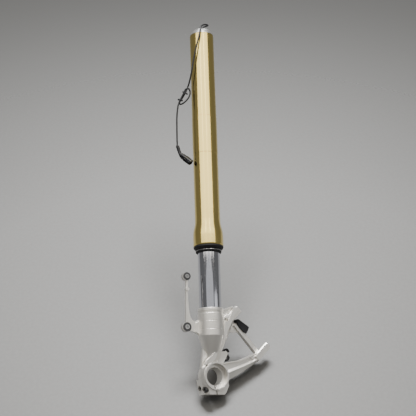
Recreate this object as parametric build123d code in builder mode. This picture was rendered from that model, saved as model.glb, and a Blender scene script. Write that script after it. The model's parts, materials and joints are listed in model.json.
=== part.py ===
"""Inverted suspension fork leg with a radial-caliper axle foot and a damping-valve cable.

Millimetres. +Z runs up the leg, the origin is the centre of the axle bore, the axle lies
along Y with its large mouth facing -Y, and the brake caliper lugs stand on the +X side.
"""

from build123d import *
from math import cos, pi, radians, sin, tan
import os

os.makedirs("parts", exist_ok=True)

# ---- driving dimensions -------------------------------------------------------------
STANCHION_R = 23.0          # polished inner tube, 46 mm outside diameter
STANCHION_BORE_R = 20.25
STANCHION_BOTTOM = 79.0
STANCHION_TOP = 500.0
RUNNING = 0.05              # radial clearance of every sliding fit

TUBE_BOTTOM = 267.0         # lower rim of the outer tube
TUBE_TOP = 749.0
TUBE_BORE_R = 24.05
FLARE_R = 31.5
LOWER_SEAT_R = 27.0         # lower yoke seat
LOWER_SEAT = (470.0, 553.0)
UPPER_SEAT_R = 26.3         # upper yoke seat
UPPER_SEAT = (690.0, 745.0)
SEAL_POCKET_R = 28.6
SEAL_POCKET_TOP = 284.2
SLIDE_BUSH_R = 25.2
SLIDE_BUSH_TOP = 304.2

CAP_TOP = 762.0
ROD_R = 6.0
ROD_BOTTOM = 280.0
ROD_TOP = 742.0
PISTON_R = 13.45
CARTRIDGE_R = 15.0
CARTRIDGE_BORE_R = 13.5
CARTRIDGE_TOP = 330.0
VALVE_TOP = 87.0            # top of the base valve's flange
BOLT_SEAT = 31.0            # under the foot bolt's washer, above the axle bore
FOOT_BOLT_R = 5.0
BOLT_HEAD = 21.0            # lower face of the foot bolt's head
BOLT_HEAD_R = 6.4
BOLT_HOLE_R = 7.2
WASHER = 1.6
SPRING_BOTTOM = 340.0
SPRING_TOP = 640.0
SPRING_COILS = 22
SPRING_R = 17.3             # mean radius of the main spring
SPRING_WIRE_R = 2.2

COLLAR_TOP = 137.0
COLLAR_R = 26.5
CONE_TOP = 81.0
CONE_HALF_ANGLE = 16.0
AXLE_R = 18.2               # through bore of the axle clamp
AXLE_MOUTH_R = 24.8         # large mouth on the outer side
LIP_R = 27.8                # thin lip round the mouth
AXLE_MOUTH_DEPTH = 10.0
CLAMP_R = 31.0
CLAMP_FRONT = -15.0
CLAMP_WIDEST = (-6.0, 4.0)  # y values between which the clamp is at its full radius
CLAMP_BACK = 14.0
CLAMP_END_RADII = (28.4, 26.0)      # at the front and at the back
LIP_FRONT = -18.0
BLOCK_BOTTOM = -36.0
PINCH_POINTS = ((-8.0, -27.0), (7.4, -23.8))    # y and z of each pinch bolt
PINCH_R = 3.0
PINCH_HEAD_R = 5.0
PINCH_RECESS_R = 6.2
PINCH_SEAT = -18.0
PINCH_HEAD_LEFT = -23.5
PINCH_END = 12.0

CALIPER_ANGLE = 43.0        # caliper bolt axis above +X
CALIPER_FACE = 139.5        # axle centre to the lug faces, along the bolt axis
CALIPER_SPACING = 100.0
CALIPER_SHIFT = -10.2       # pattern centre along the lug line
CALIPER_Y = -6.0
CALIPER_HOLE_R = 4.4
CALIPER_HOLE_DEPTH = 24.0
CALIPER_CHAMFER = 0.8
LUG_R = 8.4
LUG_FLATS = (7.5, 5.8)      # half width of the flat front of the upper and lower lugs
LUG_FLAT_FRONT = -15.5
LUG_ROOTS = (38.0, 42.0)    # how far the upper and lower lugs run back from their faces

STRUT_TOP = (55.7, 108.1)   # strut between the lug roots, as a bar from end to end
STRUT_LOW = (111.2, 47.2)
STRUT_WIDTH = 9.0
STRUT_FRONT = -4.0
STRUT_BACK = 6.0

EYE_Y = 6.5                # mid plane of the mudguard arm
EYE_LENGTH = 10.0           # over the lips of the bushes
EYE_CAST = 7.0              # thickness of the casting round the eyes
EYE_BOLT_R = 3.1
LOWER_EYE = (-53.7, 98.3)
LOWER_EYE_R = 9.0
LOWER_BUSH_R = 7.4
LOWER_SLEEVE_R = 4.8
UPPER_EYE = (-51.5, 202.1)
UPPER_EYE_R = 8.0
UPPER_BUSH_R = 6.3
UPPER_SLEEVE_R = 4.2
BUSH_LIP = 1.9              # how far a bush's lip stands out round its hole

CLIP_XZ = (33.5, 47.5)      # screw of the cable clip
CLIP_SCREW_R = 1.6
CLIP_FRONT = 11.0
CLIP_BACK = 17.0
CLIP_HOOKS = ((40.8, 52.1), (40.8, 40.3))
CLIP_HOOK_R = (3.8, 7.0)    # inner and outer radius

OUTLET_XY = (-7.5, 10.0)    # cable outlet on the cap
OUTLET_SPIGOT_R = 3.0
OUTLET_SPIGOT = 5.0

CABLE_R = 1.75
SLEEVE_LENGTH = 21.0
SLEEVE_RADII = (3.1, 3.6)   # at the cable and at the connector
CONNECTOR_LENGTH = 31.0

# Route of the damping-valve cable: from the outlet on the cap, round over the rim, down
# the front left of the tube, folded back and forth in a tied bundle, then hanging.
CABLE_ROUTE = [
    (-0.8, 6.1, 771.0),
    (5.7, 1.3, 775.4),
    (10.2, -5.3, 775.6),
    (10.2, -13.4, 773.6),
    (4.0, -19.1, 771.5),
    (-4.6, -21.0, 769.5),
    (-13.2, -21.8, 764.0),
    (-17.4, -25.7, 752.0),
    (-21.4, -24.1, 731.0),
    (-27.6, -17.3, 700.0),
    (-31.2, -9.1, 664.0),
    (-32.6, -1.4, 641.0),
    (-33.4, 8.5, 626.0),
    (-37.0, 11.0, 616.0),
    (-43.0, 15.6, 602.0),
    (-50.5, 20.5, 590.0),
    (-49.0, 16.2, 583.5),
    (-42.0, 9.2, 588.5),
    (-35.3, 4.8, 597.0),
    (-31.8, 2.2, 607.0),
    (-31.9, 2.3, 613.5),
    (-35.5, 1.5, 619.5),
    (-41.7, 4.4, 618.3),
    (-44.1, 8.7, 609.0),
    (-48.9, 13.2, 598.0),
    (-54.3, 16.9, 584.0),
    (-56.0, 19.0, 568.0),
    (-56.5, 21.1, 549.0),
    (-56.1, 22.0, 527.0),
    (-56.2, 22.6, 506.0),
    (-56.2, 22.1, 490.3),
]
SLEEVE_AXIS = (0.24, -0.16, -0.96)      # the way the sleeve leads on from the cable
CONNECTOR_AXIS = (0.58, -0.46, -0.67)   # and the connector from the sleeve
CONNECTOR_AWAY = (-1.0, -0.35, -0.35)   # roughly away from the tube, where the latch is


# ---- shared helpers -----------------------------------------------------------------
def front_plane(y):
    """Plane square to the axle at y, seen from the front: local x is +X, local y is +Z."""
    return Plane.XZ.offset(-y)


def save(piece, label):
    """Name a finished piece and write it."""
    piece.part.label = label
    export_step(piece.part, f"parts/{label}.step")


def turned(profile):
    """Solid turned about the Z axis from a closed (radius, z) outline."""
    with BuildPart() as piece:
        with BuildSketch(Plane.XZ):
            with BuildLine():
                Polyline(*profile, close=True)
            make_face()
        revolve(axis=Axis.Z)
    return piece


def ring(inner, outer, bottom, top, edge=0.0):
    """Turned ring, with its outer edges broken by a small chamfer."""
    profile = [
        (inner, bottom),
        (outer - edge, bottom),
        (outer, bottom + edge),
        (outer, top - edge),
        (outer - edge, top),
        (inner, top),
    ]
    if edge == 0.0:
        profile = [(inner, bottom), (outer, bottom), (outer, top), (inner, top)]
    return turned(profile)


def coil_spring(mean_r, wire_r, bottom, top, coils):
    """Round-wire compression spring standing between two heights."""
    rise = top - bottom - 2 * wire_r
    with BuildPart() as piece:
        with BuildLine():
            wire = Helix(
                pitch=rise / coils, height=rise, radius=mean_r, center=(0, 0, bottom + wire_r)
            )
        with BuildSketch(Plane(origin=wire @ 0, z_dir=wire % 0)):
            Circle(wire_r)
        sweep()
    return piece


def caliper_point(along, across):
    """Point in the XZ plane at a distance along the caliper bolt axis and across it."""
    angle = radians(CALIPER_ANGLE)
    return (
        along * cos(angle) + across * sin(angle),
        along * sin(angle) - across * cos(angle),
    )


CALIPER_ACROSS = (
    CALIPER_SHIFT - CALIPER_SPACING / 2,
    CALIPER_SHIFT + CALIPER_SPACING / 2,
)
CALIPER_AXIS = (cos(radians(CALIPER_ANGLE)), 0, sin(radians(CALIPER_ANGLE)))


# ---- outer tube and what it holds ---------------------------------------------------
def make_outer_tube():
    """Anodised outer tube: two yoke seats, a flared seal housing, a stepped bore."""
    flare_top = 324.0
    flare_bottom = 289.0
    rim_r = 29.6
    clip_groove = (269.6, 271.2)
    clip_groove_r = 29.5
    body_r = 26.7
    with BuildPart() as piece:
        with BuildSketch(Plane.XZ):
            with BuildLine():
                Polyline(
                    (SEAL_POCKET_R, TUBE_BOTTOM),
                    (rim_r, TUBE_BOTTOM),
                    (FLARE_R - 0.5, TUBE_BOTTOM + 0.8),
                    (FLARE_R, TUBE_BOTTOM + 3),
                    (FLARE_R, flare_bottom),
                )
                Bezier(
                    (FLARE_R, flare_bottom),
                    (FLARE_R, flare_bottom + 15),
                    (body_r, flare_top - 15),
                    (body_r, flare_top),
                )
                Polyline(
                    (body_r, flare_top),
                    (body_r, LOWER_SEAT[0] - 0.5),
                    (LOWER_SEAT_R, LOWER_SEAT[0]),
                    (LOWER_SEAT_R, LOWER_SEAT[1]),
                    (body_r, LOWER_SEAT[1] + 0.5),
                    (UPPER_SEAT_R, UPPER_SEAT[0]),
                    (UPPER_SEAT_R, TUBE_TOP - 0.8),
                    (UPPER_SEAT_R - 0.8, TUBE_TOP),
                    (TUBE_BORE_R, TUBE_TOP),
                    (TUBE_BORE_R, SLIDE_BUSH_TOP),
                    (SLIDE_BUSH_R, SLIDE_BUSH_TOP),
                    (SLIDE_BUSH_R, SEAL_POCKET_TOP),
                    (SEAL_POCKET_R, SEAL_POCKET_TOP),
                    (SEAL_POCKET_R, clip_groove[1]),
                    (clip_groove_r, clip_groove[1]),
                    (clip_groove_r, clip_groove[0]),
                    (SEAL_POCKET_R, clip_groove[0]),
                    (SEAL_POCKET_R, TUBE_BOTTOM),
                )
            make_face()
        revolve(axis=Axis.Z)
    return piece


save(make_outer_tube(), "outer_tube")


def make_fork_cap():
    """Screwed top cap: tapered flange, hex socket, O-ring groove, rod and outlet holes."""
    plug_bottom = 725.0
    plug_r = 23.95
    groove = (740.5, 743.5)
    groove_r = 22.2
    with BuildPart() as piece:
        with BuildSketch(Plane.XZ):
            with BuildLine():
                Polyline(
                    (0, plug_bottom),
                    (plug_r - 1, plug_bottom),
                    (plug_r, plug_bottom + 1),
                    (plug_r, groove[0]),
                    (groove_r, groove[0]),
                    (groove_r, groove[1]),
                    (plug_r, groove[1]),
                    (plug_r, TUBE_TOP),
                    (26.0, TUBE_TOP),
                    (26.0, TUBE_TOP + 1),
                    (19.2, CAP_TOP - 1),
                    (18.4, CAP_TOP),
                    (0, CAP_TOP),
                    close=True,
                )
            make_face()
        revolve(axis=Axis.Z)
        with BuildSketch(Plane.XY.offset(CAP_TOP)):
            RegularPolygon(radius=6.0, side_count=6, major_radius=False)
        extrude(amount=-7, mode=Mode.SUBTRACT)
        with BuildSketch(Plane.XY.offset(plug_bottom)):
            Circle(ROD_R)
        extrude(amount=ROD_TOP - plug_bottom, mode=Mode.SUBTRACT)
        with BuildSketch(Plane.XY.offset(CAP_TOP)):
            with Locations(OUTLET_XY):
                Circle(OUTLET_SPIGOT_R)
        extrude(amount=-OUTLET_SPIGOT, mode=Mode.SUBTRACT)
    return piece


save(make_fork_cap(), "fork_cap")

with BuildPart() as cap_o_ring:
    with BuildSketch(Plane.XZ):
        with Locations((23.1, 742.0)):
            Circle(0.88)
    revolve(axis=Axis.Z)
save(cap_o_ring, "cap_o_ring")


def make_cable_outlet():
    """Moulded elbow on the cap: spigot, round foot, and a ribbed spout to the cable."""
    elbow = Vector(OUTLET_XY[0], OUTLET_XY[1], CAP_TOP + 4.5)
    mouth = Vector(*CABLE_ROUTE[0])
    spout = (mouth - elbow).normalized()
    with BuildPart() as piece:
        with BuildSketch(Plane.XY.offset(CAP_TOP - OUTLET_SPIGOT)):
            with Locations(OUTLET_XY):
                Circle(OUTLET_SPIGOT_R)
        extrude(amount=OUTLET_SPIGOT)
        with BuildSketch(Plane.XY.offset(CAP_TOP)):
            with Locations(OUTLET_XY):
                Circle(5.4)
        extrude(amount=1.8)
        with BuildSketch(Plane.XY.offset(CAP_TOP + 1.8)):
            with Locations(OUTLET_XY):
                Circle(3.9)
        extrude(amount=2.7)
        with Locations(elbow):
            Sphere(3.9)
        with BuildSketch(Plane(origin=elbow, z_dir=spout)):
            Circle(3.6)
        with BuildSketch(Plane(origin=mouth, z_dir=spout)):
            Circle(2.5)
        loft()
        for step in (0.55, 0.75):
            with BuildSketch(Plane(origin=elbow + (mouth - elbow) * step, z_dir=spout)):
                Circle(3.6)
            extrude(amount=0.8)
    return piece


save(make_cable_outlet(), "cable_outlet")

save(ring(STANCHION_R + RUNNING, SLIDE_BUSH_R, SEAL_POCKET_TOP, SLIDE_BUSH_TOP), "slide_bush")
save(ring(STANCHION_R + 0.4, SEAL_POCKET_R, 282.2, SEAL_POCKET_TOP, 0.2), "seal_washer")

save(
    turned([
        (23.05, 277.4),
        (24.2, 276.2),
        (26.0, 275.6),
        (26.0, 271.3),
        (SEAL_POCKET_R, 271.3),
        (SEAL_POCKET_R, 282.2),
        (24.6, 282.2),
        (24.6, 279.6),
        (23.05, 278.4),
    ]),
    "oil_seal",
)


def make_seal_clip():
    """Open wire ring that holds the oil seal up, with a gap for removal."""
    gap = 7.0
    with BuildPart() as piece:
        with BuildSketch(Plane.XY.offset(269.8)):
            Circle(29.3)
            Circle(27.4, mode=Mode.SUBTRACT)
        extrude(amount=1.3)
        with BuildSketch(Plane.XY.offset(269.0)):
            with Locations((0, -29)):
                Rectangle(gap, 8)
        extrude(amount=3, mode=Mode.SUBTRACT)
    return piece


save(make_seal_clip(), "seal_clip")

save(
    turned([
        (28.5, 269.4),
        (28.5, TUBE_BOTTOM),
        (31.2, TUBE_BOTTOM),
        (31.3, 264.6),
        (29.8, 262.2),
        (27.6, 260.0),
        (26.9, 258.7),
        (25.8, 258.7),
        (25.8, 256.6),
        (27.0, 256.2),
        (26.6, 254.4),
        (25.0, 253.0),
        (23.6, 253.0),
        (23.05, 253.8),
        (23.05, 255.2),
        (24.3, 257.4),
        (24.3, 264.6),
        (23.05, 266.6),
        (23.05, 267.4),
        (24.6, 269.4),
    ]),
    "dust_seal",
)

with BuildPart() as dust_seal_spring:
    with BuildSketch(Plane.XZ):
        with Locations((26.45, 257.65)):
            Circle(0.62)
    revolve(axis=Axis.Z)
save(dust_seal_spring, "dust_seal_spring")


# ---- spring and damper parts that stay with the outer tube --------------------------
save(ring(0.0, ROD_R, ROD_BOTTOM, ROD_TOP), "damper_rod")

with BuildPart() as rod_locknut:
    with BuildSketch(Plane.XY.offset(713)):
        RegularPolygon(radius=9.5, side_count=6, major_radius=False)
        Circle(ROD_R, mode=Mode.SUBTRACT)
    extrude(amount=12)
    chamfer(rod_locknut.edges().group_by(Axis.Z)[-1].filter_by(GeomType.LINE), 0.8)
save(rod_locknut, "rod_locknut")


def make_piston():
    """Damper piston with a band groove and a circle of oil ports."""
    bottom = ROD_BOTTOM
    top = 296.0
    with BuildPart() as piece:
        with BuildSketch(Plane.XZ):
            with BuildLine():
                Polyline(
                    (ROD_R, bottom),
                    (PISTON_R - 1, bottom),
                    (PISTON_R - 0.6, bottom + 0.6),
                    (PISTON_R - 0.6, bottom + 4),
                    (PISTON_R - 1.6, bottom + 4),
                    (PISTON_R - 1.6, top - 4),
                    (PISTON_R - 0.6, top - 4),
                    (PISTON_R - 0.6, top),
                    (ROD_R, top),
                    close=True,
                )
            make_face()
        revolve(axis=Axis.Z)
        with BuildSketch(Plane.XY.offset(bottom - 1)):
            with PolarLocations(9.2, 6):
                Circle(1.4)
        extrude(amount=top - bottom + 2, mode=Mode.SUBTRACT)
    return piece


save(make_piston(), "damper_piston")
save(ring(PISTON_R - 1.6, PISTON_R, ROD_BOTTOM + 4, 292.0), "piston_band")

with BuildPart() as piston_bolt:
    with BuildSketch(Plane.XY.offset(ROD_BOTTOM - 7)):
        RegularPolygon(radius=6.5, side_count=6, major_radius=False)
    extrude(amount=7)
    chamfer(piston_bolt.edges().group_by(Axis.Z)[0], 0.7)
save(piston_bolt, "piston_bolt")

save(coil_spring(9.3, 1.1, 296.0, 318.0, 6), "top_out_spring")
save(coil_spring(SPRING_R, SPRING_WIRE_R, SPRING_BOTTOM, SPRING_TOP, SPRING_COILS), "main_spring")
save(ring(9.0, 19.7, SPRING_TOP, SPRING_TOP + 2.5, 0.3), "upper_spring_seat")
save(ring(15.5, 19.0, SPRING_TOP + 2.5, 713.0), "preload_spacer")


# ---- inner tube and the damper parts that stay with the foot ------------------------
save(ring(STANCHION_BORE_R, STANCHION_R, STANCHION_BOTTOM, STANCHION_TOP, 0.5), "stanchion")
save(ring(STANCHION_R, TUBE_BORE_R - RUNNING, 468.0, 488.0), "stanchion_bush")
save(ring(CARTRIDGE_BORE_R, CARTRIDGE_R, VALVE_TOP, CARTRIDGE_TOP), "cartridge_tube")
save(
    turned([
        (7.6, 318.0),
        (CARTRIDGE_BORE_R, 318.0),
        (CARTRIDGE_BORE_R, CARTRIDGE_TOP),
        (17.5, CARTRIDGE_TOP),
        (17.5, 338.0),
        (9.2, 338.0),
        (9.2, 333.0),
        (7.6, 333.0),
    ]),
    "rod_guide",
)
save(ring(ROD_R + RUNNING, 7.6, 318.0, 333.0), "rod_bush")
save(
    turned([
        (6.05, 335.0),
        (7.0, 333.2),
        (9.2, 333.2),
        (9.2, 337.8),
        (7.0, 337.8),
        (6.05, 336.0),
    ]),
    "rod_seal",
)
save(ring(8.4, 19.6, 338.0, SPRING_BOTTOM, 0.3), "lower_spring_seat")


def make_foot_valve():
    """Base valve that closes the cartridge and takes the foot bolt from below."""
    thread_top = VALVE_TOP + 10
    body_top = VALVE_TOP + 20
    with BuildPart() as piece:
        with BuildSketch(Plane.XZ):
            with BuildLine():
                Polyline(
                    (FOOT_BOLT_R, STANCHION_BOTTOM),
                    (19.5, STANCHION_BOTTOM),
                    (19.5, VALVE_TOP),
                    (CARTRIDGE_BORE_R, VALVE_TOP),
                    (CARTRIDGE_BORE_R, body_top - 2),
                    (11.5, body_top),
                    (0, body_top),
                    (0, thread_top),
                    (FOOT_BOLT_R, thread_top),
                    close=True,
                )
            make_face()
        revolve(axis=Axis.Z)
        with BuildSketch(Plane.XY.offset(thread_top)):
            with PolarLocations(9.0, 8):
                Circle(1.2)
        extrude(amount=12, mode=Mode.SUBTRACT)
    return piece


save(make_foot_valve(), "foot_valve")

with BuildPart() as foot_bolt:
    with BuildSketch(Plane.XZ):
        with BuildLine():
            Polyline(
                (0, BOLT_HEAD),
                (BOLT_HEAD_R - 0.4, BOLT_HEAD),
                (BOLT_HEAD_R, BOLT_HEAD + 0.4),
                (BOLT_HEAD_R, BOLT_SEAT - WASHER),
                (FOOT_BOLT_R, BOLT_SEAT - WASHER),
                (FOOT_BOLT_R, VALVE_TOP + 8),
                (FOOT_BOLT_R - 0.8, VALVE_TOP + 9),
                (0, VALVE_TOP + 9),
                close=True,
            )
        make_face()
    revolve(axis=Axis.Z)
    with BuildSketch(Plane.XY.offset(BOLT_HEAD)):
        RegularPolygon(radius=3.5, side_count=6, major_radius=False)
    extrude(amount=5, mode=Mode.SUBTRACT)
save(foot_bolt, "foot_bolt")
save(ring(FOOT_BOLT_R, BOLT_HOLE_R - 0.3, BOLT_SEAT - WASHER, BOLT_SEAT, 0.2), "foot_bolt_washer")

with BuildPart() as foot_o_ring:
    with BuildSketch(Plane.XZ):
        with Locations((23.9, 118.5)):
            Circle(0.88)
    revolve(axis=Axis.Z)
save(foot_o_ring, "foot_o_ring")


# ---- axle foot ----------------------------------------------------------------------
def slab(outline, front, back, mode=Mode.ADD):
    """Flat plate with an XZ outline between two Y values, for use inside a part block."""
    with BuildSketch(front_plane(back)) as plate:
        with BuildLine():
            Polyline(*outline, close=True)
        make_face()
    extrude(plate.sketch, amount=back - front, dir=(0, -1, 0), mode=mode)


def disc(radius, front, back, centre=(0, 0), mode=Mode.ADD):
    """Round plate or hole square to the axle, for use inside a part block."""
    with BuildSketch(front_plane(back)) as plate:
        with Locations(centre):
            Circle(radius)
    extrude(plate.sketch, amount=back - front, dir=(0, -1, 0), mode=mode)


def upright(radius, bottom, top, mode=Mode.ADD):
    """Round post or hole along the leg axis, for use inside a part block."""
    with BuildSketch(Plane.XY.offset(bottom)) as section:
        Circle(radius)
    extrude(section.sketch, amount=top - bottom, dir=(0, 0, 1), mode=mode)


def crosswise(radius, left, right, y, z, mode=Mode.ADD):
    """Round rod or hole along X, for use inside a part block."""
    with BuildSketch(Plane.YZ.offset(left)) as section:
        with Locations((y, z)):
            Circle(radius)
    extrude(section.sketch, amount=right - left, dir=(1, 0, 0), mode=mode)


def lug_rod(across, radius, length, mode=Mode.ADD):
    """Round boss or hole back from a caliper lug face, for use inside a part block."""
    x, z = caliper_point(CALIPER_FACE, across)
    with BuildSketch(Plane(origin=(x, CALIPER_Y, z), z_dir=CALIPER_AXIS)) as section:
        Circle(radius)
    extrude(section.sketch, amount=length, dir=-Vector(*CALIPER_AXIS), mode=mode)


def lug_countersink(across):
    """Chamfer at the mouth of a caliper bolt hole, for use inside a part block."""
    x, z = caliper_point(CALIPER_FACE, across)
    mouth = Plane(origin=(x, CALIPER_Y, z), z_dir=CALIPER_AXIS)
    with BuildSketch(mouth) as wide:
        Circle(CALIPER_HOLE_R + CALIPER_CHAMFER)
    with BuildSketch(mouth.offset(-CALIPER_CHAMFER)) as narrow:
        Circle(CALIPER_HOLE_R)
    loft([narrow.sketch, wide.sketch], mode=Mode.SUBTRACT)


def bar(start, end, width, front, back, mode=Mode.ADD):
    """Straight bar between two XZ points, for use inside a part block."""
    run = Vector(end[0] - start[0], end[1] - start[1]).normalized()
    across = Vector(-run.Y, run.X) * (width / 2)
    corners = [
        (start[0] + across.X, start[1] + across.Y),
        (end[0] + across.X, end[1] + across.Y),
        (end[0] - across.X, end[1] - across.Y),
        (start[0] - across.X, start[1] - across.Y),
    ]
    slab(corners, front, back, mode)


def collar_and_cone():
    """Socket for the inner tube: banded collar above a cone that runs into the clamp."""
    tip = 28.0
    tip_r = COLLAR_R - (CONE_TOP - tip) * tan(radians(CONE_HALF_ANGLE))
    line_r = COLLAR_R - 0.35
    with BuildSketch(Plane.XZ) as profile:
        with BuildLine():
            Polyline(
                (0, tip),
                (tip_r, tip),
                (COLLAR_R, CONE_TOP),
                (COLLAR_R, 93.0),
                (line_r, 93.3),
                (line_r, 93.7),
                (COLLAR_R, 94.0),
                (COLLAR_R, 109.4),
                (line_r, 109.7),
                (line_r, 110.1),
                (COLLAR_R, 110.4),
                (COLLAR_R, 125.4),
                (COLLAR_R - 1.1, 126.0),
                (COLLAR_R - 1.1, 130.6),
                (COLLAR_R, 131.2),
                (COLLAR_R, COLLAR_TOP - 1),
                (COLLAR_R - 1, COLLAR_TOP),
                (0, COLLAR_TOP),
                close=True,
            )
        make_face()
    revolve(profile.sketch, axis=Axis.Z)


def tapered(front_outline, back_outline, front, back):
    """Ruled solid between two XZ outlines with as many corners, for use inside a part block."""
    sections = []
    for outline, y in ((front_outline, front), (back_outline, back)):
        with BuildSketch(front_plane(y)) as section:
            with BuildLine():
                Polyline(*outline, close=True)
            make_face()
        sections.append(section.sketch)
    loft(sections, ruled=True)


def axle_clamp_body():
    """Split clamp round the axle: barrelled ring, raised lip, pinch block and the left web."""
    with BuildSketch(Plane.XY) as profile:
        with BuildLine():
            Polyline(
                (0, CLAMP_FRONT),
                (CLAMP_END_RADII[0], CLAMP_FRONT),
                (CLAMP_R, CLAMP_WIDEST[0]),
                (CLAMP_R, CLAMP_WIDEST[1]),
                (CLAMP_END_RADII[1], CLAMP_BACK),
                (0, CLAMP_BACK),
                close=True,
            )
        make_face()
    revolve(profile.sketch, axis=Axis.Y)
    disc(LIP_R, LIP_FRONT, CLAMP_FRONT)
    block = [(-30, -6), (-28, -17), (-24, BLOCK_BOTTOM), (17.5, BLOCK_BOTTOM), (22.5, -32),
             (29, -16), (30.5, -4)]
    tapered(
        [(-25.5, -8), (-18.5, -21.6), (-16.3, BLOCK_BOTTOM), (18, BLOCK_BOTTOM), (22, -31),
         (28, -19), (27, -7)],
        block,
        CLAMP_FRONT,
        CLAMP_WIDEST[0],
    )
    slab(block, CLAMP_WIDEST[0], CLAMP_BACK)
    slab([(-22, 54), (-12, 37), (0, 20), (-20, 8), (-28, 16.5)], -5.0, 2.0)


def front_ribs():
    """Rib from the upper lug to the left of the lip, its right flank sloped to the back."""
    rib_front = -16.5
    rib_mid = -9.5
    tapered(
        [(45, 139), (37.2, 122.8), (31.4, 111.3), (23.5, 108.9), (20, 84.3), (11.8, 66.9),
         (0.4, 50.5), (-9.7, 40.2), (-20.3, 31.1), (-25.5, 21), (-13, 24), (-6, 29.5),
         (-1.9, 32.5), (2, 42.6), (6.3, 51.7), (12.8, 61.9), (22.1, 76.3), (29.7, 89.8),
         (37.6, 105.4), (46.1, 119.2), (56, 134), (52.5, 140.5)],
        [(44.5, 139), (36.7, 122.8), (31, 111.3), (23, 108.9), (19.5, 84.3), (11.3, 66.9),
         (0, 50.5), (-10.2, 40.2), (-20.8, 31.1), (-26, 21), (-12, 22), (0, 24),
         (8, 27), (12.3, 37.6), (18.1, 52.8), (23.3, 63.1), (31, 77.5), (38.3, 92.1),
         (44.9, 106.7), (52.5, 119.5), (59, 132.5), (55.5, 139.5)],
        rib_front,
        rib_mid,
    )
    slab(
        [(8, 20), (12.3, 37.6), (18.1, 52.8), (23.3, 63.1), (31, 77.5), (38.3, 92.1),
         (44.9, 106.7), (51, 119.5), (48, 124), (37, 122), (22, 112), (16, 90), (8, 66),
         (0, 48), (-2, 20)],
        rib_mid,
        8.0,
    )


def upper_lug_webs():
    """Thin ribs that tie the collar to the upper lug."""
    flange = 2.6
    bar((21, 133.2), (46, 142.2), flange, -13.5, 2.0)
    bar((22, 115.6), (44.5, 135.2), flange, -14.0, 3.0)
    slab([(19, 134), (19, 104), (31, 110), (45, 134), (45, 141)], -9.0, -4.0)


def caliper_lugs():
    """Two tapped bosses along the caliper bolt axis, each with a narrower flat front."""
    for across, root, half_width in zip(CALIPER_ACROSS, LUG_ROOTS, LUG_FLATS):
        lug_rod(across, LUG_R, root)
        near = CALIPER_FACE - root
        far = CALIPER_FACE - 1.0
        inner = across - half_width
        outer = across + half_width
        slab(
            [caliper_point(near, inner), caliper_point(far - 2, inner),
             caliper_point(far, inner + 2), caliper_point(far, outer - 2),
             caliper_point(far - 2, outer), caliper_point(near, outer)],
            LUG_FLAT_FRONT,
            CALIPER_Y,
        )


def arm_section(x, bottom, ridge, top):
    """Section of the lower arm square to X: a flange, a recess, a ridge and a sloped base."""
    recess = (top - ridge) * 0.25
    with BuildSketch(Plane.YZ.offset(x)) as section:
        with BuildLine():
            Polyline(
                (7.0, bottom),
                (7.0, top),
                (-13.0, top),
                (-13.0, top - 2.2),
                (-9.5, top - 3.4),
                (-9.5, ridge + recess),
                (-15.5, ridge),
                (-14.0, (2 * ridge + bottom) / 3),
                (-8.5, bottom),
                close=True,
            )
        make_face()
    return section.sketch


def lower_arm():
    """Beam from the clamp to the lower lug, its front face recessed above a ridge."""
    loft(
        [
            arm_section(20.0, -12.7, 4.5, 27.0),
            arm_section(60.0, 7.2, 18.8, 33.5),
            arm_section(80.0, 18.2, 26.7, 41.0),
            arm_section(102.0, 31.2, 37.5, 49.5),
        ],
        ruled=True,
    )
    slab([(82, 40), (93, 47), (104, 50), (112, 54), (114, 42), (98, 30)], -12.0, 7.0)


def bridge_strut():
    """Cast strut between the roots of the two lugs, with a gusset below the upper one."""
    bar(STRUT_TOP, STRUT_LOW, STRUT_WIDTH, STRUT_FRONT, STRUT_BACK)
    slab(
        [(26, 91.5), (31, 110), (40, 120), (52, 121), (55.5, 111.5), (68, 96), (66.5, 91.5)],
        0.0,
        STRUT_BACK,
    )


def mudguard_arm():
    """Arm on the left: root web, lower eye, slim upright, small boss and upper eye."""
    front = EYE_Y - 2.5
    back = EYE_Y + 2.5
    slab(
        [(-15.5, 114.1), (-22.5, 115.6), (-26.0, 114.1), (-33.9, 110.3), (-39.6, 112.1),
         (-44.7, 117.9), (-47.3, 128.9), (-49.5, 153.3), (-49.1, 174.5), (-48.8, 196.7),
         (-54.5, 196.7), (-53.1, 189.7), (-53.7, 152.9), (-54.5, 128.2), (-55.3, 109.0),
         (-59.5, 102.0), (-53.5, 89.9), (-42.5, 90.7), (-34.5, 87.4), (-26.8, 83.2),
         (-15.5, 77.8)],
        front,
        back,
    )
    slab(
        [(-15.5, 112.1), (-23.5, 113.1), (-33.5, 107.0), (-34.5, 88.9), (-26.5, 84.9),
         (-15.5, 79.8)],
        front - 2,
        back + 2,
    )
    disc(LOWER_EYE_R, EYE_Y - EYE_CAST / 2, EYE_Y + EYE_CAST / 2, LOWER_EYE)
    disc(UPPER_EYE_R, EYE_Y - EYE_CAST / 2, EYE_Y + EYE_CAST / 2, UPPER_EYE)
    disc(3.9, front - 2.5, back, (-51.2, 175.9))


def clip_boss():
    """Small tapped boss behind the clamp for the cable clip."""
    disc(4.8, 2.0, CLIP_FRONT, CLIP_XZ)
    slab([(12, 28), (12, 50), (30, 52), (37, 44), (32, 36), (26, 27)], 2.0, 8.0)


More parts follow.
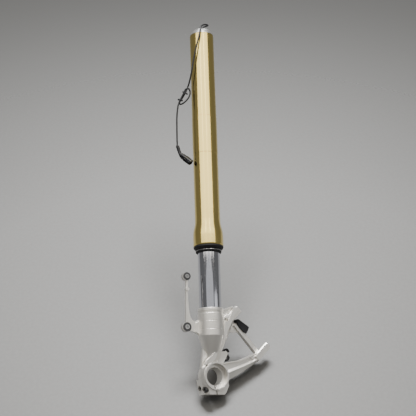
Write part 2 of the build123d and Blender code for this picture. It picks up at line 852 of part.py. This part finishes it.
def foot_holes():
    """Every machined hole and cut of the foot."""
    clear = 30.0
    disc(AXLE_R, CLAMP_FRONT - 10, CLAMP_BACK + 10, mode=Mode.SUBTRACT)
    disc(AXLE_MOUTH_R, LIP_FRONT - 5, LIP_FRONT + AXLE_MOUTH_DEPTH, mode=Mode.SUBTRACT)
    slab([(-1.5, 0), (1.5, 0), (1.5, -60), (-1.5, -60)], -clear, clear, mode=Mode.SUBTRACT)
    for bottom, radius, top in (
        (STANCHION_BOTTOM, STANCHION_R, COLLAR_TOP + 1),
        (117.0, 24.8, 120.0),
        (0.0, FOOT_BOLT_R, STANCHION_BOTTOM + 1),
        (10.0, BOLT_HOLE_R, BOLT_SEAT),
    ):
        upright(radius, bottom, top, Mode.SUBTRACT)
    for y, z in PINCH_POINTS:
        crosswise(PINCH_R, -60, PINCH_END + 1, y, z, Mode.SUBTRACT)
        crosswise(PINCH_RECESS_R, -60, PINCH_SEAT, y, z, Mode.SUBTRACT)
    for across in CALIPER_ACROSS:
        lug_rod(across, CALIPER_HOLE_R, CALIPER_HOLE_DEPTH, Mode.SUBTRACT)
        lug_countersink(across)
    disc(LOWER_BUSH_R, -clear, clear, LOWER_EYE, mode=Mode.SUBTRACT)
    disc(UPPER_BUSH_R, -clear, clear, UPPER_EYE, mode=Mode.SUBTRACT)
    disc(CLIP_SCREW_R, 3.0, clear, CLIP_XZ, mode=Mode.SUBTRACT)


with BuildPart() as axle_foot:
    collar_and_cone()
    axle_clamp_body()
    front_ribs()
    upper_lug_webs()
    lower_arm()
    bridge_strut()
    caliper_lugs()
    mudguard_arm()
    clip_boss()
    foot_holes()
save(axle_foot, "axle_foot")


# ---- pieces fastened to the foot ----------------------------------------------------
with BuildPart() as pinch_bolts:
    for y, z in PINCH_POINTS:
        crosswise(PINCH_R, PINCH_SEAT, PINCH_END, y, z)
        crosswise(PINCH_HEAD_R, PINCH_HEAD_LEFT, PINCH_SEAT, y, z)
        with BuildSketch(Plane.YZ.offset(PINCH_HEAD_LEFT)):
            with Locations((y, z)):
                RegularPolygon(radius=2.5, side_count=6, major_radius=False)
        extrude(amount=3.5, mode=Mode.SUBTRACT)
    chamfer(pinch_bolts.edges().filter_by(GeomType.CIRCLE).group_by(Axis.X)[0], 0.5)
save(pinch_bolts, "pinch_bolts")


def grommet(eye, outer, inner):
    """Rubber bush with a lip each side of the eye it sits in."""
    lip = outer + BUSH_LIP
    half = EYE_LENGTH / 2
    with BuildPart() as piece:
        disc(outer, EYE_Y - half, EYE_Y + half, eye)
        disc(lip, EYE_Y - half, EYE_Y - EYE_CAST / 2, eye)
        disc(lip, EYE_Y + EYE_CAST / 2, EYE_Y + half, eye)
        disc(inner, EYE_Y - 20, EYE_Y + 20, eye, mode=Mode.SUBTRACT)
    return piece


def eye_sleeve(eye, outer):
    """Steel spacer tube inside a grommet, which the mudguard bolt passes through."""
    half = EYE_LENGTH / 2 + 0.5
    with BuildPart() as piece:
        disc(outer, EYE_Y - half, EYE_Y + half, eye)
        disc(EYE_BOLT_R, EYE_Y - 20, EYE_Y + 20, eye, mode=Mode.SUBTRACT)
    return piece


save(grommet(LOWER_EYE, LOWER_BUSH_R, LOWER_SLEEVE_R), "lower_mudguard_grommet")
save(eye_sleeve(LOWER_EYE, LOWER_SLEEVE_R), "lower_mudguard_sleeve")
save(grommet(UPPER_EYE, UPPER_BUSH_R, UPPER_SLEEVE_R), "upper_mudguard_grommet")
save(eye_sleeve(UPPER_EYE, UPPER_SLEEVE_R), "upper_mudguard_sleeve")


def make_hose_guide():
    """Moulded saddle clipped over the strut, with an open channel for the brake hose."""
    play = 0.3
    with BuildPart() as piece:
        slab(
            [(55.8, 116.9), (61.9, 118.2), (86.8, 102.7), (85.3, 97.5), (80.5, 89.5),
             (74, 91.8), (60.1, 105.7)],
            STRUT_FRONT - 3.0,
            STRUT_BACK + 4.0,
        )
        slab(
            [(50, 121.5), (100, 66.6), (60, 50), (20, 100)],
            STRUT_FRONT - play,
            STRUT_BACK + play,
            mode=Mode.SUBTRACT,
        )
        slab(
            [(70, 119.5), (95, 100), (88, 93), (63, 116)],
            STRUT_FRONT + 1.0,
            STRUT_BACK + 1.0,
            mode=Mode.SUBTRACT,
        )
    return piece


save(make_hose_guide(), "hose_guide")


def make_cable_clip():
    """Moulded S-shaped cable clip screwed to its boss: foot ring and two open hooks."""
    inner, outer = CLIP_HOOK_R
    reach = outer + 2
    top, low = CLIP_HOOKS
    with BuildPart() as piece:
        for centre in CLIP_HOOKS:
            disc(outer, CLIP_FRONT, CLIP_BACK, centre)
            disc(inner, CLIP_FRONT, CLIP_BACK, centre, mode=Mode.SUBTRACT)
        slab(
            [(top[0] + 1.5, top[1] - 0.5), (top[0] + reach, top[1] - 0.5),
             (top[0] + reach, top[1] - 5.0), (top[0] + 3.5, top[1] - 5.0)],
            CLIP_FRONT,
            CLIP_BACK,
            mode=Mode.SUBTRACT,
        )
        slab(
            [(low[0] - 2.0, low[1] + 3.5), (low[0] - reach, low[1] + 3.5),
             (low[0] - reach, low[1] - reach), (low[0] - 1.5, low[1] - reach)],
            CLIP_FRONT,
            CLIP_BACK,
            mode=Mode.SUBTRACT,
        )
        disc(4.0, CLIP_FRONT, CLIP_BACK, CLIP_XZ)
        disc(CLIP_SCREW_R, CLIP_FRONT - 5, CLIP_BACK + 5, CLIP_XZ, mode=Mode.SUBTRACT)
    return piece


save(make_cable_clip(), "cable_clip")

with BuildPart() as clip_screw:
    disc(CLIP_SCREW_R, 4.0, CLIP_BACK, CLIP_XZ)
    disc(3.0, CLIP_BACK, CLIP_BACK + 2, CLIP_XZ)
    with BuildSketch(front_plane(CLIP_BACK + 2)):
        with Locations(CLIP_XZ):
            RegularPolygon(radius=1.3, side_count=6, major_radius=False)
    extrude(amount=1.2, mode=Mode.SUBTRACT)
save(clip_screw, "clip_screw")


# ---- damping-valve cable ------------------------------------------------------------
def corner_radii(route):
    """Arc radius at every inner corner: 0.45 of the shorter run over tan(half turn)."""
    points = [Vector(*p) for p in route]
    radii = []
    for before, here, after in zip(points, points[1:], points[2:]):
        run_in = here - before
        run_out = after - here
        half_turn = radians(run_in.get_angle(run_out) / 2)
        radii.append(0.45 * min(run_in.length, run_out.length) / tan(half_turn))
    return radii


cable_radii = corner_radii(CABLE_ROUTE)
print("cable radii", [round(r, 1) for r in cable_radii], "tightest", round(min(cable_radii), 2))

with BuildPart() as valve_cable:
    with BuildLine() as cable_line:
        FilletPolyline(*CABLE_ROUTE, radius=cable_radii)
    cable_path = cable_line.wires()[0]
    with BuildSketch(Plane(origin=cable_path @ 0, z_dir=cable_path % 0)):
        Circle(CABLE_R)
    sweep(path=cable_path)
save(valve_cable, "valve_cable")
cable_section = pi * CABLE_R**2
cable_volume = cable_section * cable_path.length
print("cable length", round(cable_path.length, 1))
print("volume over section times length", round(valve_cable.part.volume / cable_volume, 4))

# The sleeve carries on from the end of the cable, and the connector hangs from it.
cable_end = Vector(*CABLE_ROUTE[-1])
sleeve_axis = Vector(*SLEEVE_AXIS).normalized()
connector_start = cable_end + sleeve_axis * SLEEVE_LENGTH
connector_axis = Vector(*CONNECTOR_AXIS).normalized()

with BuildPart() as cable_sleeve:
    with BuildSketch(Plane(origin=cable_end, z_dir=sleeve_axis)):
        Circle(SLEEVE_RADII[0])
    with BuildSketch(Plane(origin=connector_start, z_dir=sleeve_axis)):
        Circle(SLEEVE_RADII[1])
    loft()
    for step in (2.0, 5.0, 8.0, 11.0, 14.0):
        with BuildSketch(Plane(origin=cable_end + sleeve_axis * step, z_dir=sleeve_axis)):
            Circle(3.8)
        extrude(amount=1.4)
save(cable_sleeve, "cable_sleeve")


def connector_plane(along):
    """Section plane of the connector, its local x pointing away from the fork tube."""
    away = Vector(*CONNECTOR_AWAY)
    side = away - connector_axis * away.dot(connector_axis)
    return Plane(origin=connector_start + connector_axis * along, x_dir=side, z_dir=connector_axis)


def connector_block(start, end, width, depth, corner, mode=Mode.ADD, shift=0.0):
    """Rounded block along the connector axis, for use inside a part block."""
    with BuildSketch(connector_plane(start)) as section:
        with Locations((shift, 0)):
            RectangleRounded(width, depth, corner)
    extrude(section.sketch, amount=end - start, dir=connector_axis, mode=mode)


with BuildPart() as connector_seal:
    for start, end, radius in ((0.6, 2.4, 4.4), (2.4, 4.2, 5.2), (4.2, 6.0, 4.6)):
        with BuildSketch(connector_plane(start)):
            Circle(radius)
        extrude(amount=end - start)
save(connector_seal, "connector_seal")

with BuildPart() as connector_housing:
    connector_block(6.0, 13.0, 11.0, 10.0, 2.2)
    connector_block(13.0, CONNECTOR_LENGTH, 12.0, 10.6, 2.4)
    for start in (15.0, 18.5, 22.0):
        connector_block(start, start + 1.6, 13.0, 11.4, 2.6)
    connector_block(CONNECTOR_LENGTH - 9.0, CONNECTOR_LENGTH + 1, 8.8, 7.4, 1.4, Mode.SUBTRACT)
    connector_block(12.0, CONNECTOR_LENGTH + 1, 2.8, 5.2, 0.4, Mode.SUBTRACT, 6.2)
save(connector_housing, "connector_housing")

with BuildPart() as connector_pins:
    with BuildSketch(connector_plane(CONNECTOR_LENGTH - 9.0)):
        with Locations((-1.6, 0), (1.6, 0)):
            Rectangle(0.8, 1.6)
    extrude(amount=7.0)
save(connector_pins, "connector_pins")

with BuildPart() as connector_latch:
    connector_block(13.5, CONNECTOR_LENGTH - 1, 1.6, 4.4, 0.5, shift=6.6)
    connector_block(15.0, 18.0, 1.6, 6.0, 0.5, shift=7.9)
save(connector_latch, "connector_latch")

# Two nylon ties hold the folded strands: a strap round each pair, a lock head and a tail.
TIES = [
    ((-41.2, 8.6, 610.0), (-5.0, 4.5, -9.5), (0.60, -0.78, 0.05), 13.0),
    ((-49.6, 15.6, 594.5), (-5.2, 3.9, -12.5), (0.45, -0.88, -0.10), 12.0),
]
with BuildPart() as cable_ties:
    for centre, along, across, reach in TIES:
        band = Plane(origin=centre, x_dir=across, z_dir=along)
        with BuildSketch(band.offset(-1.2)):
            SlotOverall(reach + 1.8, 6.4)
            SlotOverall(reach, 4.6, mode=Mode.SUBTRACT)
        extrude(amount=2.4)
save(cable_ties, "cable_ties")
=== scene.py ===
"""Looks of the inverted fork leg: camera, light, floor, materials and the free cable."""

import json
from math import cos, pi, radians, sin

import bpy
from mathutils import Matrix, Vector


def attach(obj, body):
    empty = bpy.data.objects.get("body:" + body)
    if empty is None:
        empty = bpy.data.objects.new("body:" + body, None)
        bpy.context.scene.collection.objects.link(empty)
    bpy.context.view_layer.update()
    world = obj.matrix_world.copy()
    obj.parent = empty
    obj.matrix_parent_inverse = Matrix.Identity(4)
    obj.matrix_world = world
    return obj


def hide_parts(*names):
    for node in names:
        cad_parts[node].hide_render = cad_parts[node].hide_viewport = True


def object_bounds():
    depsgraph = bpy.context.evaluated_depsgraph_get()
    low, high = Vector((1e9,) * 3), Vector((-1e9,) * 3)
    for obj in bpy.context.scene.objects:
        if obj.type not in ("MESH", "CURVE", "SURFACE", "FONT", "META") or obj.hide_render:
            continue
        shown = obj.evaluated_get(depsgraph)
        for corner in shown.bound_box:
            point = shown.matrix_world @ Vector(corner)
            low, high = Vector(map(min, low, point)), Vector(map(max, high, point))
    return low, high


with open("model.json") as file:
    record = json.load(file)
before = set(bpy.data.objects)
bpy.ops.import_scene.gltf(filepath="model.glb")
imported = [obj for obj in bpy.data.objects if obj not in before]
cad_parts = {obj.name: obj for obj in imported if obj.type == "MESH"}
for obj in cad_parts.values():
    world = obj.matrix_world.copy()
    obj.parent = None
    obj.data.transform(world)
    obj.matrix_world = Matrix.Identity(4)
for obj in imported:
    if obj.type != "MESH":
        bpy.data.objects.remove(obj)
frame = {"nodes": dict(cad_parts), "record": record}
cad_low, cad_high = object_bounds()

MM = 0.001
nodes = frame["nodes"]


# ---- camera -------------------------------------------------------------------------
CAMERA_PLACE = (-0.900, -1.5588, -0.157)
CAMERA_PITCH = 15.75        # degrees the lens looks up
CAMERA_YAW = -29.94         # degrees the lens turns from +Y, towards +X
CAMERA_ROLL = 1.88
CAMERA_LENS = 76.6          # millimetres
CAMERA_SHIFT = (0.0041, 0.0014)
CLIP_END = 50.0


def make_camera():
    """Long lens in front of the leg and below its foot, looking up along it."""
    pitch = radians(CAMERA_PITCH)
    yaw = radians(CAMERA_YAW)
    roll = radians(CAMERA_ROLL)
    camera = bpy.data.cameras.new("camera")
    camera.lens = CAMERA_LENS
    camera.sensor_width = 36.0
    camera.shift_x, camera.shift_y = CAMERA_SHIFT
    camera.clip_end = CLIP_END
    view = bpy.data.objects.new("camera", camera)
    bpy.context.scene.collection.objects.link(view)
    forward = Vector((-sin(yaw) * cos(pitch), cos(yaw) * cos(pitch), sin(pitch)))
    right = Vector((cos(yaw), sin(yaw), 0.0))
    up = right.cross(forward)
    across = right * cos(roll) - up * sin(roll)
    upward = right * sin(roll) + up * cos(roll)
    turn = Matrix((across, upward, -forward)).transposed().to_4x4()
    view.matrix_world = Matrix.Translation(Vector(CAMERA_PLACE)) @ turn
    bpy.context.scene.camera = view
    return across, upward, forward


view_right, view_up, view_forward = make_camera()


# ---- node helpers -------------------------------------------------------------------
class Shader:
    """Short way to build one node material."""

    def __init__(self, name):
        self.material = bpy.data.materials.new(name)
        self.material.use_nodes = True
        self.tree = self.material.node_tree
        self.tree.nodes.clear()
        self.out = self.node("ShaderNodeOutputMaterial")
        self.bsdf = self.node("ShaderNodeBsdfPrincipled")
        self.link(self.bsdf.outputs[0], self.out.inputs["Surface"])
        self.coords = self.node("ShaderNodeTexCoord").outputs["Object"]

    def node(self, kind, **settings):
        made = self.tree.nodes.new(kind)
        for key, value in settings.items():
            if key in made.inputs:
                made.inputs[key].default_value = value
            else:
                setattr(made, key, value)
        return made

    def link(self, source, target):
        self.tree.links.new(source, target)

    def set(self, **values):
        for key, value in values.items():
            self.bsdf.inputs[key.replace("_", " ")].default_value = value

    def scaled(self, scale):
        """Object coordinates stretched by a scale in each axis."""
        mapping = self.node("ShaderNodeMapping")
        mapping.inputs["Scale"].default_value = scale
        self.link(self.coords, mapping.inputs["Vector"])
        return mapping.outputs[0]

    def noise(self, scale, detail=4.0, rough=0.5, vector=None):
        made = self.node("ShaderNodeTexNoise")
        made.inputs["Scale"].default_value = scale
        made.inputs["Detail"].default_value = detail
        made.inputs["Roughness"].default_value = rough
        self.link(vector if vector is not None else self.coords, made.inputs["Vector"])
        return made.outputs["Fac"]

    def remap(self, source, low, high, new_low, new_high):
        made = self.node("ShaderNodeMapRange")
        made.inputs["From Min"].default_value = low
        made.inputs["From Max"].default_value = high
        made.inputs["To Min"].default_value = new_low
        made.inputs["To Max"].default_value = new_high
        self.link(source, made.inputs["Value"])
        return made.outputs[0]

    def mix(self, factor, first, second):
        """Colour between two colours or colour sockets."""
        made = self.node("ShaderNodeMix", data_type="RGBA")
        for socket, value in ((made.inputs[6], first), (made.inputs[7], second)):
            if isinstance(value, tuple):
                socket.default_value = (*value, 1.0)
            else:
                self.link(value, socket)
        self.link(factor, made.inputs[0])
        return made.outputs[2]

    def bump(self, height, strength, distance, normal=None):
        made = self.node("ShaderNodeBump")
        if normal is not None:
            self.link(normal, made.inputs["Normal"])
        made.inputs["Strength"].default_value = strength
        made.inputs["Distance"].default_value = distance
        self.link(height, made.inputs["Height"])
        self.link(made.outputs[0], self.bsdf.inputs["Normal"])

    def colour(self, socket):
        self.link(socket, self.bsdf.inputs["Base Color"])

    def roughness(self, socket):
        self.link(socket, self.bsdf.inputs["Roughness"])


# ---- materials ----------------------------------------------------------------------
GRAIN_DEPTH = 0.2 * MM
EDGE_SOFTNESS = 0.4 * MM    # radius of the cast edges, in the shading only


def anodised():
    """Champagne anodised tube: fine turned lines, faint clouding, satin gloss."""
    s = Shader("gold_anodised")
    s.set(Metallic=1.0)
    clouds = s.noise(9.0, 3.0, 0.5)
    s.colour(s.mix(s.remap(clouds, 0.3, 0.7, 0.0, 1.0), (0.84, 0.67, 0.235), (0.87, 0.70, 0.26)))
    lines = s.noise(60.0, 3.0, 0.6, s.scaled((1.0, 1.0, 60.0)))
    s.roughness(s.remap(lines, 0.3, 0.7, 0.13, 0.19))
    s.bump(lines, 0.06, GRAIN_DEPTH)
    return s.material


def chrome(name, base, rough):
    """Polished hard chrome with the faintest polishing lines."""
    s = Shader(name)
    s.set(Metallic=1.0)
    clouds = s.noise(20.0, 2.0)
    s.colour(s.mix(s.remap(clouds, 0.3, 0.7, 0.0, 1.0), base, tuple(c * 0.95 for c in base)))
    lines = s.noise(80.0, 2.0, 0.5, s.scaled((1.0, 1.0, 40.0)))
    s.roughness(s.remap(lines, 0.3, 0.7, rough, rough + 0.04))
    return s.material


def cast_paint():
    """Warm silver paint over a sand-textured casting with soft edges."""
    s = Shader("cast_foot")
    s.set(Metallic=0.93)
    clouds = s.noise(25.0, 4.0)
    s.colour(s.mix(s.remap(clouds, 0.3, 0.7, 0.0, 1.0), (0.74, 0.72, 0.68), (0.84, 0.82, 0.78)))
    grain = s.noise(900.0, 3.0, 0.6)
    s.roughness(s.remap(grain, 0.3, 0.7, 0.36, 0.44))
    soft = s.node("ShaderNodeBevel", samples=4)
    soft.inputs["Radius"].default_value = EDGE_SOFTNESS
    s.bump(grain, 0.12, GRAIN_DEPTH, soft.outputs[0])
    return s.material


def plain_metal(name, base, rough):
    """Plated or turned metal with a fine mottle in tone and gloss."""
    s = Shader(name)
    s.set(Metallic=1.0)
    clouds = s.noise(120.0, 3.0)
    s.colour(s.mix(s.remap(clouds, 0.3, 0.7, 0.0, 1.0), base, tuple(c * 0.85 for c in base)))
    s.roughness(s.remap(clouds, 0.3, 0.7, rough, rough + 0.12))
    return s.material


def dark_polymer(name, base, rough, grain_scale):
    """Moulded rubber or plastic with a fine grain."""
    s = Shader(name)
    s.set(Specular_IOR_Level=0.2)
    clouds = s.noise(60.0, 3.0)
    s.colour(s.mix(s.remap(clouds, 0.3, 0.7, 0.0, 1.0), base, tuple(c * 1.5 for c in base)))
    grain = s.noise(grain_scale, 3.0)
    s.roughness(s.remap(grain, 0.3, 0.7, rough, rough + 0.15))
    s.bump(grain, 0.12, GRAIN_DEPTH)
    return s.material


materials = {
    "gold_anodised": anodised(),
    "cap_aluminium": plain_metal("cap_aluminium", (0.72, 0.72, 0.71), 0.3),
    "cast_foot": cast_paint(),
    "chrome_tube": chrome("chrome_tube", (0.60, 0.61, 0.66), 0.05),
    "chrome_steel": chrome("chrome_steel", (0.7, 0.7, 0.72), 0.08),
    "black_rubber": dark_polymer("black_rubber", (0.012, 0.012, 0.013), 0.5, 900.0),
    "grey_rubber": dark_polymer("grey_rubber", (0.03, 0.03, 0.031), 0.55, 900.0),
    "black_plastic": dark_polymer("black_plastic", (0.010, 0.010, 0.011), 0.38, 1200.0),
    "cable_jacket": dark_polymer("cable_jacket", (0.012, 0.012, 0.013), 0.4, 700.0),
    "steel": plain_metal("steel", (0.6, 0.6, 0.6), 0.28),
    "dark_steel": plain_metal("dark_steel", (0.12, 0.12, 0.125), 0.35),
    "spring_steel": plain_metal("spring_steel", (0.38, 0.38, 0.41), 0.35),
    "bush_metal": plain_metal("bush_metal", (0.55, 0.42, 0.27), 0.35),
    "bare_aluminium": plain_metal("bare_aluminium", (0.75, 0.75, 0.76), 0.32),
}
for entry in frame["record"]["subparts"]:
    body = nodes[entry["node"]]
    body.data.materials.clear()
    body.data.materials.append(materials[entry["material_slot"]])


# ---- damping-valve cable ------------------------------------------------------------
CABLE_ROUTE = [
    (-0.8, 6.1, 771.0),
    (5.7, 1.3, 775.4),
    (10.2, -5.3, 775.6),
    (10.2, -13.4, 773.6),
    (4.0, -19.1, 771.5),
    (-4.6, -21.0, 769.5),
    (-13.2, -21.8, 764.0),
    (-17.4, -25.7, 752.0),
    (-21.4, -24.1, 731.0),
    (-27.6, -17.3, 700.0),
    (-31.2, -9.1, 664.0),
    (-32.6, -1.4, 641.0),
    (-33.4, 8.5, 626.0),
    (-37.0, 11.0, 616.0),
    (-43.0, 15.6, 602.0),
    (-50.5, 20.5, 590.0),
    (-49.0, 16.2, 583.5),
    (-42.0, 9.2, 588.5),
    (-35.3, 4.8, 597.0),
    (-31.8, 2.2, 607.0),
    (-31.9, 2.3, 613.5),
    (-35.5, 1.5, 619.5),
    (-41.7, 4.4, 618.3),
    (-44.1, 8.7, 609.0),
    (-48.9, 13.2, 598.0),
    (-54.3, 16.9, 584.0),
    (-56.0, 19.0, 568.0),
    (-56.5, 21.1, 549.0),
    (-56.1, 22.0, 527.0),
    (-56.2, 22.6, 506.0),
    (-56.2, 22.1, 490.3),
]
CABLE_RADIUS = 1.75 * MM


def make_cable():
    """The cable as one smooth curve through its route."""
    curve = bpy.data.curves.new("damping_cable", "CURVE")
    curve.dimensions = "3D"
    curve.bevel_depth = CABLE_RADIUS
    curve.bevel_resolution = 6
    curve.resolution_u = 12
    curve.use_fill_caps = True
    spline = curve.splines.new("NURBS")
    spline.points.add(len(CABLE_ROUTE) - 1)
    for point, place in zip(spline.points, CABLE_ROUTE):
        point.co = (*(c * MM for c in place), 1.0)
    spline.order_u = 3
    spline.use_endpoint_u = True
    cable = bpy.data.objects.new("damping_cable", curve)
    bpy.context.scene.collection.objects.link(cable)
    curve.materials.append(materials["cable_jacket"])
    return cable


cable = make_cable()
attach(cable, "upper_leg")
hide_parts("valve_cable")


# ---- floor, surroundings and light --------------------------------------------------
FLOOR_COLOUR = (0.138, 0.138, 0.136)
FLOOR_COLOUR_LIGHT = (0.152, 0.152, 0.15)
FLOOR_RADIUS = 2.4
FLOOR_TILT = radians(39.0)  # from the viewing direction, which looks up along the leg
FLOOR_CONTACT = (0.018, 0.014)
FLOOR_GAP = 1.2 * MM        # below the lowest point of the foot


def make_floor():
    """Plain pale floor, seen from its upper side only and fading out round its edge."""
    contact = Vector((*FLOOR_CONTACT, cad_low.z - FLOOR_GAP))
    away = view_forward * cos(FLOOR_TILT) + view_up * sin(FLOOR_TILT)
    normal = view_up * cos(FLOOR_TILT) - view_forward * sin(FLOOR_TILT)
    mesh = bpy.data.meshes.new("floor")
    edge = FLOOR_RADIUS
    mesh.from_pydata(
        [(-edge, -edge, 0), (edge, -edge, 0), (edge, edge, 0), (-edge, edge, 0)], [], [(0, 1, 2, 3)]
    )
    floor = bpy.data.objects.new("floor", mesh)
    bpy.context.scene.collection.objects.link(floor)
    turn = Matrix((view_right, away, normal)).transposed().to_4x4()
    floor.matrix_world = Matrix.Translation(contact) @ turn
    s = Shader("floor")
    grain = s.noise(140.0, 3.0)
    s.colour(s.mix(s.remap(grain, 0.3, 0.7, 0.0, 1.0), FLOOR_COLOUR, FLOOR_COLOUR_LIGHT))
    s.set(Roughness=0.6)
    spot = s.node("ShaderNodeTexGradient", gradient_type="SPHERICAL")
    s.link(s.scaled((1.0 / edge, 1.0 / edge, 1.0)), spot.inputs["Vector"])
    clear = s.node("ShaderNodeBsdfTransparent")
    blend = s.node("ShaderNodeMixShader")
    behind = s.node("ShaderNodeNewGeometry").outputs["Backfacing"]
    shown = s.node("ShaderNodeMath", operation="MULTIPLY")
    s.link(s.remap(spot.outputs["Fac"], 0.05, 0.7, 0.0, 1.0), shown.inputs[0])
    s.link(s.remap(behind, 0.0, 1.0, 1.0, 0.0), shown.inputs[1])
    s.link(shown.outputs[0], blend.inputs[0])
    s.link(clear.outputs[0], blend.inputs[1])
    s.link(s.bsdf.outputs[0], blend.inputs[2])
    s.link(blend.outputs[0], s.out.inputs["Surface"])
    mesh.materials.append(s.material)


MIDDLE = (0.0, 0.0, 0.36)
AXLE = (0.0, 0.0, 0.0)
WARM = (1.0, 0.95, 0.85)
PANEL_DISTANCE = 2.7
KEY_DISTANCE = 2.2
WORLD_COLOUR = (0.17, 0.168, 0.162, 1.0)


def area(name, place, target, size, radiance, colour=(1.0, 1.0, 1.0)):
    """Rectangular soft light aimed at a point, as bright as its radiance says."""
    lamp = bpy.data.lights.new(name, "AREA")
    lamp.shape = "RECTANGLE"
    lamp.size, lamp.size_y = size
    lamp.energy = radiance * pi * size[0] * size[1]
    lamp.color = colour
    holder = bpy.data.objects.new(name, lamp)
    bpy.context.scene.collection.objects.link(holder)
    holder.location = place
    holder.rotation_euler = (Vector(target) - Vector(place)).to_track_quat("-Z", "Y").to_euler()
    holder.visible_camera = False


def around(azimuth, elevation, distance, centre=MIDDLE):
    """Point round the leg: azimuth 0 is towards the viewer, positive to the viewer's right."""
    turn = radians(azimuth + CAMERA_YAW)
    reach = distance * cos(radians(elevation))
    return (
        centre[0] + reach * sin(turn),
        centre[1] - reach * cos(turn),
        centre[2] + distance * sin(radians(elevation)),
    )


def surroundings():
    """Plain even light from all round."""
    world = bpy.data.worlds.new("world")
    bpy.context.scene.world = world
    world.use_nodes = True
    world.node_tree.nodes["Background"].inputs["Color"].default_value = WORLD_COLOUR


make_floor()
for name, azimuth in (("front_left", -36.0), ("front", 0.0), ("front_right", 36.0)):
    area(name, around(azimuth, 25.5, PANEL_DISTANCE), MIDDLE, (1.76, 1.42), 2.2, WARM)
area("front_strip", around(0.0, 7.0, PANEL_DISTANCE), (0.0, 0.0, 0.2), (4.0, 0.32), 0.55)
area("key", around(2.0, 66.0, KEY_DISTANCE, AXLE), AXLE, (1.1, 0.6), 58.0)
area("foot_fill", around(62.0, 1.0, PANEL_DISTANCE), AXLE, (1.6, 0.5), 0.9)
surroundings()
